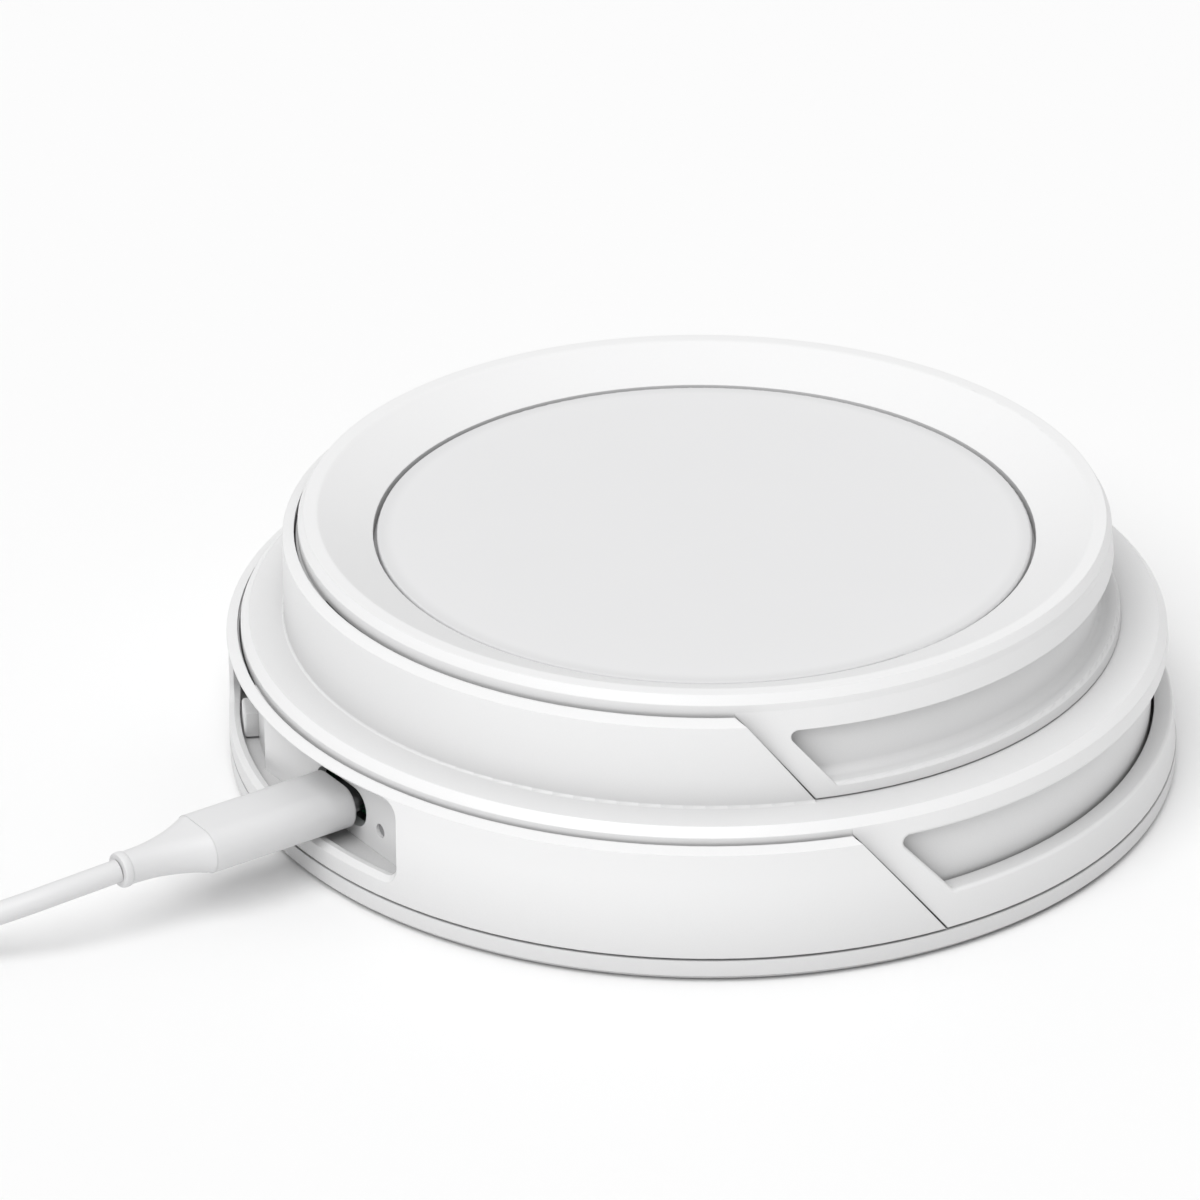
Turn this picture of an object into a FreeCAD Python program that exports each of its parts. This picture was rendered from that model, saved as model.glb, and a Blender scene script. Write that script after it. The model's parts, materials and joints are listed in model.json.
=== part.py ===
"""Two-tier round charging hub with two tilting lids and a USB-C lead.

Millimetres, +Z up.  The origin is on the floor, under the centre of the round body.
+X points at the finger recesses, -X at the USB-C port; both lids hinge on the port side.
"""
import FreeCAD, Part
import Sketcher

import math
import os

from FreeCAD import Placement, Rotation, Vector

doc = FreeCAD.newDocument("charging_hub")
sheet = doc.addObject("Spreadsheet::Sheet", "Dims")
sub_parts = []

DIMENSIONS = {
    # base plate and its foot
    "plate_radius": 70.0, "plate_bottom": 0.4, "plate_top": 3.5, "plate_edge": 0.7,
    "foot_inner": 55.0, "foot_outer": 61.0, "foot_top": 1.4, "groove_inner": 54.9, "groove_outer": 61.1,
    # housing: drum, deck and the fixed band on the port side
    "drum_inner": 64.2, "drum_radius": 66.0, "deck_bottom": 14.6, "deck_top": 16.8,
    "band_radius": 70.0, "band_inner": 68.4, "band_bottom": 3.9, "band_web": 5.9,
    "band_shoulder": 20.2, "band_top": 20.9, "band_lip_inner": 68.15, "hinge_side_half": 24.0,
    # port opening and panel
    "panel_front": 63.5, "panel_back": 61.9, "panel_half": 20.5, "panel_top": 18.9,
    "opening_bottom": 7.2, "opening_top": 19.3, "opening_near": 19.0, "opening_far": 40.0, "opening_corner": 2.0,
    "opening_chamfer": 0.8,
    "port_height": 10.8, "slot_width": 13.0, "slot_tall": 6.0, "slot_corner": 2.95,
    "light_side": 10.1, "light_height": 9.8, "light_radius": 1.05,
    # lower lid
    "cover_radius": 67.9, "cover_bottom": 20.8, "cover_top": 23.0, "cover_bevel": 1.2, "cover_lip": 0.6,
    "skirt_inner": 66.8, "skirt_foot_radius": 69.9, "skirt_bottom": 3.9,
    "ledge_height": 9.3, "window_top": 19.0, "ledge_round": 0.6, "ledge_gap": 0.5,
    "tub_inner": 48.0, "tub_outer": 50.0, "tub_bottom": 17.3, "tub_plate": 18.3,
    # fixed band of the upper tier, moulded on the lower lid
    "ring_radius": 61.5, "ring_inner": 59.8, "ring_shoulder": 35.4, "ring_top": 36.2, "ring_fillet": 0.4,
    # upper lid
    "rim_radius": 59.2, "rim_height": 37.7, "rim_bevel": 0.8, "lid_bottom": 24.0, "lid_wall": 57.6,
    "groove_gap": 0.25,
    "crest_inner": 56.4, "crest_height": 39.0, "crest_round": 1.0, "dish_inner": 48.3, "dish_floor": 35.3,
    "dish_skin": 1.9, "seat_top": 33.5, "seat_bottom": 31.9, "rib_outer": 48.1, "rib_inner": 46.4,
    "rib_bottom": 25.1, "apron_foot_radius": 61.1, "apron_bottom": 23.25,
    "recess_radius": 57.8, "recess_back": 56.2, "recess_bottom": 25.2, "recess_top": 33.5, "recess_cove": 1.2,
    # slanted splits, each plane parallel to Y: x at the foot and at the top of the tier
    "low_split_foot": -8.4, "low_split_top": -21.7, "high_split_foot": -22.4, "high_split_top": -31.6,
    "low_window_foot": -6.7, "low_window_top": -15.1, "high_window_foot": -18.6, "high_window_top": -25.6,
    "window_corner": 1.0, "split_gap": 0.35,
    # side button
    "button_back": 62.5, "button_face": 68.05, "button_width": 5.0, "button_bottom": 6.3, "button_top": 10.1,
    "button_round": 0.45,
    # hinges
    "low_hinge": 63.6, "low_hinge_height": 20.8, "low_knuckle": 1.3, "low_pin": 0.65,
    "high_hinge": 55.0, "high_hinge_height": 36.2, "high_knuckle": 1.2, "high_pin": 0.6,
    "knuckle_half": 10.5, "leaf_half": 4.7, "knuckle_start": 5.0, "knuckle_room": 0.3, "pin_room": 0.03,
    # inlay pads and charging coils
    "pad_radius": 47.75, "pad_top": 35.2, "pad_edge": 0.35, "middle_pad_radius": 40.0, "lower_pad_radius": 38.0,
    "pad_depth": 0.9, "coil_inner": 9.0, "coil_outer": 21.5, "coil_thick": 1.2, "ferrite_radius": 22.5,
    "ferrite_thick": 0.8, "magnet_inner": 23.5, "magnet_outer": 27.5, "magnet_thick": 2.0,
    # board
    "board_bottom": 7.6, "board_top": 9.2, "board_rear": 54.0, "board_front": 20.0, "board_half": 26.0,
    "nose_half": 12.0,
    "post_radius": 3.0, "receptacle_width": 8.94, "receptacle_tall": 3.2, "receptacle_corner": 1.55,
    "receptacle_front": 61.2, "receptacle_length": 7.3, "shell_wall": 0.25,
    # plug and lead
    "plug_width": 11.0, "plug_thick": 6.5, "plug_corner": 3.1, "plug_front": 64.3, "plug_length": 23.2,
    "relief_length": 13.0, "relief_radius": 2.55, "contact_width": 8.3, "contact_tall": 2.45, "contact_corner": 1.2,
    "contact_length": 6.6, "cord_diameter": 3.3, "coil_mean": 20.0, "coil_rows": 10.0, "tail_length": 10.0,
}

for row, (alias, number) in enumerate(DIMENSIONS.items(), start=1):
    cell = "B%d" % row
    sheet.set("A%d" % row, alias)
    sheet.set(cell, str(number))
    sheet.setAlias(cell, alias)
doc.recompute()


# ---------------------------------------------------------------- helpers

def is_number(token):
    return token.replace(".", "", 1).isdigit()


def value(terms):
    """The number that a sum of aliases and plain numbers, such as "0 - band_radius", stands for."""
    total = 0.0
    sign = 1.0
    for token in terms.split():
        if token in "+-":
            sign = -1.0 if token == "-" else 1.0
        else:
            total += sign * (float(token) if is_number(token) else float(sheet.get(token)))
    return total


def bound(terms):
    """The same sum as an expression that reads the sheet."""
    words = [word if word in "+-" or is_number(word) else "Dims." + word for word in terms.split()]
    return " ".join(words)


def bind(item, prop, terms):
    """Set one property now and bind it to the sheet."""
    item.setExpression(prop, bound(terms))


def finish(item, label):
    """Name a finished sub-part; its label is its file's name."""
    item.Label = label
    sub_parts.append(item)
    return item


def origin_item(body, role):
    return [item for item in body.Origin.OriginFeatures if item.Role == role][0]


def new_body(name):
    return doc.addObject("PartDesign::Body", name + "_body")


def new_sketch(body, role, name, lift=None):
    """A sketch on one of the body's own origin planes, lifted along its normal by a bound distance."""
    sketch = body.newObject("Sketcher::SketchObject", name)
    sketch.AttachmentSupport = (origin_item(body, role), "")
    sketch.MapMode = "FlatFace"
    if lift:
        sketch.setExpression("AttachmentOffset.Base.z", bound(lift))
    return sketch


def pin_point(sketch, line, across, up):
    """Hold the start of a line at a bound place."""
    for kind, axis, terms in (("DistanceX", -2, across), ("DistanceY", -1, up)):
        if terms == "0":
            sketch.addConstraint(Sketcher.Constraint("PointOnObject", line, 1, axis))
            continue
        index = sketch.addConstraint(Sketcher.Constraint(kind, -1, 1, line, 1, value(terms)))
        sketch.setExpression("Constraints[%d]" % index, bound(terms))


def closed_outline(sketch, points):
    """A closed loop of straight lines through bound points."""
    places = [Vector(value(across), value(up), 0) for across, up in points]
    lines = []
    for start, end in zip(places, places[1:] + places[:1]):
        lines.append(sketch.addGeometry(Part.LineSegment(start, end), False))
    for line, following in zip(lines, lines[1:] + lines[:1]):
        sketch.addConstraint(Sketcher.Constraint("Coincident", line, 2, following, 1))
    for line, (across, up) in zip(lines, points):
        pin_point(sketch, line, across, up)


def turned(name, points):
    """A body revolved about Z from an outline given as radius and height."""
    body = new_body(name)
    sketch = new_sketch(body, "XZ_Plane", name + "_outline")
    closed_outline(sketch, points)
    turn = body.newObject("PartDesign::Revolution", name + "_turn")
    turn.Profile = sketch
    turn.ReferenceAxis = (sketch, ["V_Axis"])
    turn.Angle = 360
    return body


def across_block(name, points, half_width=90):
    """A body whose outline lies in XZ and which runs along Y to both sides."""
    body = new_body(name)
    sketch = new_sketch(body, "XZ_Plane", name + "_outline")
    closed_outline(sketch, points)
    pad = body.newObject("PartDesign::Pad", name + "_pad")
    pad.Profile = sketch
    pad.Midplane = True
    pad.Length = 2 * half_width
    return body


def disc(name, radius, bottom, top, inner=None):
    """A flat disc or washer as a padded sketch of circles."""
    body = new_body(name)
    sketch = new_sketch(body, "XY_Plane", name + "_outline", bottom)
    for terms in [radius] + ([inner] if inner else []):
        circle = sketch.addGeometry(Part.Circle(Vector(0, 0, 0), Vector(0, 0, 1), value(terms)), False)
        sketch.addConstraint(Sketcher.Constraint("Coincident", circle, 3, -1, 1))
        index = sketch.addConstraint(Sketcher.Constraint("Radius", circle, value(terms)))
        sketch.setExpression("Constraints[%d]" % index, bound(terms))
    pad = body.newObject("PartDesign::Pad", name + "_pad")
    pad.Profile = sketch
    pad.setExpression("Length", "(%s) - (%s)" % (bound(top), bound(bottom)))
    return body


def box(name, size, corner):
    """A block of a bound size with its lowest corner at a bound place."""
    block = doc.addObject("Part::Box", name)
    for prop, terms in zip(("Length", "Width", "Height"), size):
        bind(block, prop, terms)
    for axis, terms in zip("xyz", corner):
        bind(block, "Placement.Base." + axis, terms)
    return block


def rod(name, radius, length, place, along="z"):
    """A cylinder of a bound size that starts at a bound place and runs along one axis."""
    cylinder = doc.addObject("Part::Cylinder", name)
    bind(cylinder, "Radius", radius)
    bind(cylinder, "Height", length)
    turns = {"z": Rotation(), "y": Rotation(Vector(1, 0, 0), -90), "x": Rotation(Vector(0, 1, 0), 90)}
    cylinder.Placement = Placement(Vector(), turns[along])
    for axis, terms in zip("xyz", place):
        bind(cylinder, "Placement.Base." + axis, terms)
    return cylinder


def fused(name, items):
    union = doc.addObject("Part::MultiFuse", name)
    union.Shapes = items
    return union


def cut(name, base, tools):
    """The base less one or more tools."""
    difference = doc.addObject("Part::Cut", name)
    difference.Base = base
    difference.Tool = tools[0] if len(tools) == 1 else fused(name + "_tools", tools)
    return difference


def common(name, first, second):
    shared = doc.addObject("Part::Common", name)
    shared.Base = first
    shared.Tool = second
    return shared


def rounded(name, base, radius, wanted):
    """Fillets on the edges that a test picks from the base's shape."""
    doc.recompute()
    fillet = doc.addObject("Part::Fillet", name)
    fillet.Base = base
    size = value(radius)
    fillet.Edges = [(index, size, size) for index, edge in enumerate(base.Shape.Edges, start=1) if wanted(edge)]
    if not fillet.Edges:
        raise RuntimeError("no edge to round on " + name)
    return fillet


def chamfered(name, base, size, wanted):
    """Chamfers on the edges that a test picks from the base's shape."""
    doc.recompute()
    chamfer = doc.addObject("Part::Chamfer", name)
    chamfer.Base = base
    depth = value(size)
    chamfer.Edges = [(index, depth, depth) for index, edge in enumerate(base.Shape.Edges, start=1) if wanted(edge)]
    if not chamfer.Edges:
        raise RuntimeError("no edge to chamfer on " + name)
    return chamfer


def ring_edge(radius, height, spread=0.05):
    """A test for edges that are circles about Z near one radius and at one height."""
    def wanted(edge):
        curve = edge.Curve
        return (isinstance(curve, Part.Circle) and abs(curve.Radius - value(radius)) < spread
                and abs(curve.Center.z - value(height)) < 0.02 and abs(curve.Axis.z) > 0.99)
    return wanted


def runs_along(direction):
    """A test for straight edges along one axis."""
    def wanted(edge):
        return isinstance(edge.Curve, Part.Line) and abs(edge.tangentAt(edge.FirstParameter).dot(direction)) > 0.99
    return wanted


def slotted_bar(name, width, tall, corner, start, length, height):
    """A bar along X with a rounded cross-section, centred on y = 0 at a bound height."""
    block = doc.addObject("Part::Box", name + "_block")
    bind(block, "Length", length)
    bind(block, "Width", width)
    bind(block, "Height", tall)
    bind(block, "Placement.Base.x", start)
    block.setExpression("Placement.Base.y", "-(%s) / 2" % bound(width))
    block.setExpression("Placement.Base.z", "%s - (%s) / 2" % (bound(height), bound(tall)))
    return rounded(name, block, corner, runs_along(Vector(1, 0, 0)))


def placed(item, spot, turn=0.0):
    """Put an item at a spot, turned about Z by a number of degrees."""
    item.Placement = Placement(spot, Rotation(Vector(0, 0, 1), turn))
    return item


def around(radius, degrees, height=0.0):
    """The point at one radius and angle about Z."""
    angle = math.radians(degrees)
    return Vector(radius * math.cos(angle), radius * math.sin(angle), height)


def group(label, items):
    """Separate identical solids kept as one sub-part."""
    compound = doc.addObject("Part::Compound", label + "_group")
    compound.Links = items
    return finish(compound, label)


def simple_rod(name, radius, length, spot):
    """An upright cylinder at a computed spot, used for screws and bosses that repeat."""
    cylinder = doc.addObject("Part::Cylinder", name)
    bind(cylinder, "Radius", radius)
    bind(cylinder, "Height", length)
    cylinder.Placement.Base = spot
    return cylinder


def screw_group(label, spots, shank_radius, shank_length, head_radius, head_height, head_up):
    """Screws at several spots: each spot is where the underside of the head sits."""
    screws = []
    for number, spot in enumerate(spots):
        name = "%s_%d" % (label, number)
        shank_drop = value(shank_length) if head_up else 0.0
        head_drop = 0.0 if head_up else value(head_height)
        shank = simple_rod(name + "_shank", shank_radius, shank_length, spot - Vector(0, 0, shank_drop))
        head = simple_rod(name + "_head", head_radius, head_height, spot - Vector(0, 0, head_drop))
        screws.append(fused(name, [shank, head]))
    return group(label, screws)


def rear_of_split(name, foot, top, low, high):
    """The space on the port side of a slanted split."""
    return across_block(name, [
        ("0 - 90", low + " - 5"), (foot, low + " - 5"), (foot, low), (top, high),
        (top, high + " + 5"), ("0 - 90", high + " + 5")])


def front_of_split(name, foot, top, low, high):
    """The space on the finger side of a slanted split, one gap further on."""
    foot = foot + " + split_gap"
    top = top + " + split_gap"
    return across_block(name, [
        (foot, low + " - 5"), ("90", low + " - 5"), ("90", high + " + 5"),
        (top, high + " + 5"), (top, high), (foot, low)])


def window_space(name, foot, top, low, high):
    """A long window that runs round the finger side from one slanted end to the other."""
    block = across_block(name + "_block", [(foot, low), ("90", low), ("90", high), (top, high)])

    def slanted_corner(edge):
        return runs_along(Vector(0, 1, 0))(edge) and edge.Vertexes[0].X < 0
    return rounded(name, block, "window_corner", slanted_corner)


# ---------------------------------------------------------------- base

BOSS_ANGLES = (0, 60, 120, 240, 300)
BOSS_CIRCLE = 59.0
BUTTON_ANGLE = 152.0
POST_SPOTS = [(-49, -23), (-49, 23), (15, -23), (15, 23)]


def base_plate():
    plate = turned("plate", [
        ("0", "plate_bottom"), ("groove_inner", "plate_bottom"), ("groove_inner", "foot_top"),
        ("groove_outer", "foot_top"), ("groove_outer", "plate_bottom"),
        ("plate_radius - plate_edge", "plate_bottom"), ("plate_radius", "plate_bottom + plate_edge"),
        ("plate_radius", "plate_top"), ("0", "plate_top")])
    posts = [simple_rod("post_%d" % number, "post_radius", "board_bottom - plate_top + 0.5",
                        Vector(across, along, value("plate_top - 0.5")))
             for number, (across, along) in enumerate(POST_SPOTS)]
    holes = []
    for number, degrees in enumerate(BOSS_ANGLES):
        spot = around(BOSS_CIRCLE, degrees)
        holes.append(simple_rod("plate_hole_%d" % number, "1.35", "5", spot))
        holes.append(simple_rod("head_hole_%d" % number, "2.35", "foot_top + 1.3", spot))
    for number, (across, along) in enumerate(POST_SPOTS):
        holes.append(simple_rod("post_hole_%d" % number, "1.05", "5", Vector(across, along, 3.2)))
    finish(cut("base_plate", fused("plate_and_posts", [plate] + posts), holes), "base_plate")


def foot_ring():
    finish(disc("foot", "foot_outer", "0 + 0", "foot_top", "foot_inner"), "foot_ring")


def radial_block(name, degrees, inner, outer, width, low, high):
    """A block that runs outward along the radial line at one angle."""
    block = doc.addObject("Part::Box", name)
    block.Length = outer - inner
    block.Width = width
    block.Height = high - low
    sideways = around(width / 2, degrees - 90)
    return placed(block, around(inner, degrees, low) + sideways, degrees)


def button_block(name, inner, outer, width, low, high):
    """A block on the button's radial line, its sizes given in the sheet's names."""
    sizes = [value(terms) for terms in (inner, outer, width, low, high)]
    return radial_block(name, BUTTON_ANGLE, *sizes)


def opening_lip(edge):
    """Edges where the port opening meets the band's outer face, below its shoulder."""
    ends = [vertex.Point for vertex in edge.Vertexes] + [edge.valueAt(edge.FirstParameter)]
    radii = [math.hypot(point.x, point.y) for point in ends]
    heights = [point.z for point in ends]
    on_face = max(abs(radius - value("band_radius")) for radius in radii) < 0.05
    inside = min(heights) > value("opening_bottom") - 0.1 and max(heights) < value("opening_top") + 0.1
    return on_face and inside and ends[0].x < -30


def base_housing():
    drum = turned("drum", [
        ("drum_inner", "plate_top"), ("drum_radius", "plate_top"), ("drum_radius", "deck_top"),
        ("lower_pad_radius + 0.1", "deck_top"), ("lower_pad_radius + 0.1", "deck_top - pad_depth"),
        ("0", "deck_top - pad_depth"), ("0", "deck_bottom"), ("drum_inner", "deck_bottom")])
    wall_ring = turned("wall_ring", [
        ("drum_inner", "deck_bottom"), ("drum_radius", "deck_bottom"),
        ("drum_radius", "cover_bottom - 0.4"), ("drum_inner", "cover_bottom - 0.4")])
    wall_side = box("wall_side", ("90", "160", "40"), ("low_window_top - 1", "0 - 80", "0"))
    window_wall = common("window_wall", wall_ring, wall_side)
    panel_room = box("panel_room", ("20", "panel_half + panel_half", "20"),
                     ("0 - panel_back - 20", "0 - panel_half", "band_web"))
    button_room = button_block("button_room", "60", "75", "button_width + 0.3",
                               "button_bottom - 0.15", "button_top + 0.15")
    open_drum = cut("open_drum", drum, [panel_room, button_room])

    band = turned("band", [
        ("drum_radius - 1", "band_bottom"), ("band_radius", "band_bottom"), ("band_radius", "band_shoulder"),
        ("band_inner", "band_top"), ("band_inner", "band_web"), ("drum_radius - 1", "band_web")])
    rear = rear_of_split("band_side", "low_split_foot", "low_split_top", "band_bottom", "band_top")
    opening_block = box("opening_block", ("40", "opening_near + opening_far", "opening_top - opening_bottom"),
                        ("0 - 85", "0 - opening_near", "opening_bottom"))
    opening = rounded("opening", opening_block, "opening_corner", runs_along(Vector(1, 0, 0)))
    opening_ring = disc("opening_ring", "90", "0 + 0", "40", "drum_radius + 0.1")
    port_opening = common("port_opening", opening, opening_ring)
    open_band = cut("open_band", common("rear_band", band, rear), [port_opening])
    soft_band = chamfered("soft_band", open_band, "opening_chamfer", opening_lip)
    lip_ring = turned("band_lip_ring", [
        ("band_lip_inner", "band_shoulder - 1"), ("band_inner + 0.3", "band_shoulder - 1"),
        ("band_inner + 0.3", "band_shoulder + 0.2"), ("band_lip_inner", "band_shoulder + 0.2")])
    lip_side = rear_of_split("lip_side", "low_split_foot", "low_split_top", "band_bottom", "band_top")
    hinge_side = box("hinge_side", ("60", "hinge_side_half + hinge_side_half", "10"),
                     ("0 - 90", "0 - hinge_side_half", "band_shoulder - 5"))
    band_lip = cut("band_lip", common("rear_lip", lip_ring, lip_side), [hinge_side])
    panel_seat = box("panel_seat", ("4.2", "panel_half + panel_half - 1", "1.2"),
                     ("0 - 65", "0 - panel_half + 0.5", "band_web - 1.2"))

    bosses = [simple_rod("boss_%d" % number, "2.8", "deck_bottom - plate_top + 0.5",
                         around(BOSS_CIRCLE, degrees, value("plate_top")))
              for number, degrees in enumerate(BOSS_ANGLES)]
    ties = [radial_block("boss_tie_%d" % number, degrees, BOSS_CIRCLE + 0.5, 65.0, 1.6, 6.0, 14.0)
            for number, degrees in enumerate(BOSS_ANGLES)]
    holes = [simple_rod("boss_hole_%d" % number, "1.25", "9.6", around(BOSS_CIRCLE, degrees, 3.4))
             for number, degrees in enumerate(BOSS_ANGLES)]
    holes += [simple_rod("hinge_hole_%d" % number, "0.85", "2.2", Vector(spot.x, spot.y, 14.9))
              for number, spot in enumerate(LOW_SCREWS)]
    whole = fused("housing_whole", [open_drum, window_wall, soft_band, band_lip, panel_seat] + bosses + ties)
    finish(cut("base_housing", whole, holes), "base_housing")


def port_panel():
    panel = box("panel_plate", ("panel_front - panel_back", "panel_half + panel_half", "panel_top - band_web"),
                ("0 - panel_front", "0 - panel_half", "band_web"))
    slot = slotted_bar("panel_slot", "slot_width", "slot_tall", "slot_corner", "0 - 66", "6", "port_height")
    light = rod("light_hole", "light_radius", "6", ("0 - 66", "0 - light_side", "light_height"), "x")
    finish(cut("port_panel", panel, [slot, light]), "port_panel")
    light_place = ("0 - panel_front + 0.5", "0 - light_side", "light_height")
    finish(rod("light_pipe", "light_radius - 0.05", "2.2", light_place, "x"), "status_light_pipe")


def side_button():
    stem = button_block("button_stem", "button_back + 0.3", "button_face", "button_width",
                        "button_bottom", "button_top")
    flange = button_block("button_flange", "button_back", "drum_inner - 0.5", "button_width + 1.6",
                          "button_bottom - 0.7", "button_top + 0.7")

    def face_edge(edge):
        middle = edge.CenterOfMass
        return math.hypot(middle.x, middle.y) > value("button_face - button_round")
    soft_stem = rounded("button_front", stem, "button_round", face_edge)
    finish(fused("side_button", [soft_stem, flange]), "side_button")
    finish(button_block("side_switch", "57.6", "button_back - 0.7", "4.4", "board_top", "button_top + 0.9"),
           "side_switch")


def ballast_plate():
    full = disc("ballast_disc", "52", "plate_top", "11.5")
    side = box("ballast_side", ("60", "120", "20"), ("24", "0 - 60", "0"))
    finish(common("ballast_plate", full, side), "ballast_plate")


def board():
    blank = box("board_blank",
                ("board_rear + board_front", "board_half + board_half", "board_top - board_bottom"),
                ("0 - board_rear", "0 - board_half", "board_bottom"))
    nose = box("board_nose", ("7", "nose_half + nose_half", "board_top - board_bottom"),
               ("0 - board_rear - 6.5", "0 - nose_half", "board_bottom"))
    wing = button_block("board_wing", "45", "button_back - 0.8", "9", "board_bottom", "board_top")
    holes = [simple_rod("board_hole_%d" % number, "1.2", "5", Vector(across, along, 6))
             for number, (across, along) in enumerate(POST_SPOTS)]
    finish(cut("main_board", fused("board_whole", [blank, nose, wing]), holes), "main_board")
    screw_group("board_screws", [Vector(across, along, value("board_top")) for across, along in POST_SPOTS],
                "1.0", "5.2", "1.9", "1.2", True)

    chips = [((-34, -6), (9, 9, 1.0)), ((-14, 6), (7, 7, 0.9)), ((4, -9), (5, 6, 1.4))]
    solids = []
    for number, ((across, along), (length, width, height)) in enumerate(chips):
        chip = box("chip_%d" % number, (str(length), str(width), str(height)),
                   (("0 - %g" % -across) if across < 0 else str(across),
                    ("0 - %g" % -along) if along < 0 else str(along), "board_top"))
        solids.append(chip)
    group("power_chips", solids)
    capacitors = []
    for number in range(4):
        spot = Vector(-22 + 7 * number, -21, value("board_top"))
        capacitors.append(simple_rod("capacitor_%d" % number, "2.0", "2.9", spot))
    group("board_capacitors", capacitors)
    inductors = []
    for number in range(3):
        block = doc.addObject("Part::Box", "inductor_%d" % number)
        block.Length = 6
        block.Width = 6
        block.Height = 3
        placed(block, Vector(-30 + 12 * number, 15, value("board_top")))
        inductors.append(rounded("inductor_%d_body" % number, block, "1.2", runs_along(Vector(0, 0, 1))))
    group("board_inductors", inductors)


def receptacle():
    outer = slotted_bar("receptacle_outer", "receptacle_width", "receptacle_tall", "receptacle_corner",
                        "0 - receptacle_front", "receptacle_length", "port_height")
    inner = slotted_bar("receptacle_inner", "receptacle_width - shell_wall - shell_wall",
                        "receptacle_tall - shell_wall - shell_wall", "receptacle_corner - shell_wall",
                        "0 - receptacle_front - 1", "receptacle_length + 0.6", "port_height")
    finish(cut("usb_c_receptacle", outer, [inner]), "usb_c_receptacle")
    finish(box("tongue", ("receptacle_length - 1.2", "6.6", "0.7"),
               ("0 - receptacle_front + 0.8", "0 - 3.3", "port_height - 0.35")), "receptacle_tongue")


def base_screws():
    spots = [around(BOSS_CIRCLE, degrees, value("foot_top + 1.3")) for degrees in BOSS_ANGLES]
    screw_group("base_screws", spots, "1.2", "9.5", "2.2", "1.2", False)


def charger(prefix, top):
    """A flat charging coil against the underside of a skin, with a ferrite disc below it."""
    finish(disc(prefix + "_winding", "coil_outer", top + " - coil_thick", top, "coil_inner"), prefix + "_coil")
    coil_foot = top + " - coil_thick"
    finish(disc(prefix + "_backing", "ferrite_radius", coil_foot + " - ferrite_thick", coil_foot), prefix + "_ferrite")


def inlay(label, radius, bottom, top, edge):
    flat = disc(label + "_disc", radius, bottom, top)
    finish(rounded(label, flat, edge, ring_edge(radius, top)), label)


# ---------------------------------------------------------------- hinges

def knuckle(name, radius, start, length, place):
    return rod(name, radius, length, (place[0], start, place[1]), "y")


def hinge_bracket(label, place, radius, pin, foot, arms, screws):
    """A bracket with two knuckles outside the leaf's one, on a screwed foot."""
    barrels = [knuckle(label + "_left", radius, "0 - knuckle_half", "knuckle_half - knuckle_start", place),
               knuckle(label + "_right", radius, "knuckle_start", "knuckle_half - knuckle_start", place)]
    blocks = [box(label + "_foot", foot[0], foot[1])]
    for number, (size, corner) in enumerate(arms):
        width = "knuckle_half - knuckle_start"
        blocks.append(box("%s_arm_%d" % (label, number), (size[0], width, size[1]),
                          (corner[0], "knuckle_start", corner[1])))
        blocks.append(box("%s_far_arm_%d" % (label, number), (size[0], width, size[1]),
                          (corner[0], "0 - knuckle_half", corner[1])))
    bore = knuckle(label + "_bore", pin + " + pin_room", "0 - 20", "40", place)
    holes = [simple_rod("%s_hole_%d" % (label, number), "0.85", "6", spot - Vector(0, 0, 4))
             for number, spot in enumerate(screws)]
    finish(cut(label, fused(label + "_whole", barrels + blocks), [bore] + holes), label)


def hinge_leaf(label, place, radius, pin, blocks, screws):
    """The leaf's single middle knuckle and the plates that carry it."""
    barrel = knuckle(label + "_barrel", radius, "0 - leaf_half", "leaf_half + leaf_half", place)
    plates = [box("%s_plate_%d" % (label, number), (size[0], "leaf_half + leaf_half", size[1]),
                  (corner[0], "0 - leaf_half", corner[1])) for number, (size, corner) in enumerate(blocks)]
    bore = knuckle(label + "_bore", pin + " + pin_room", "0 - 20", "40", place)
    holes = [simple_rod("%s_hole_%d" % (label, number), "0.65", "4", spot - Vector(0, 0, 1))
             for number, spot in enumerate(screws)]
    finish(cut(label, fused(label + "_whole", [barrel] + plates), [bore] + holes), label)


LOW_SCREWS = [Vector(-54, along, 17.6) for along in (-8, 8)]
HIGH_SCREWS = [Vector(-51.5, along, 23.8) for along in (-8, 8)]
LOW_LEAF_SCREWS = [Vector(-55, along, 19.9) for along in (-2.8, 2.8)]
HIGH_LEAF_SCREWS = [Vector(-43, along, 30.7) for along in (-2.8, 2.8)]


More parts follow.
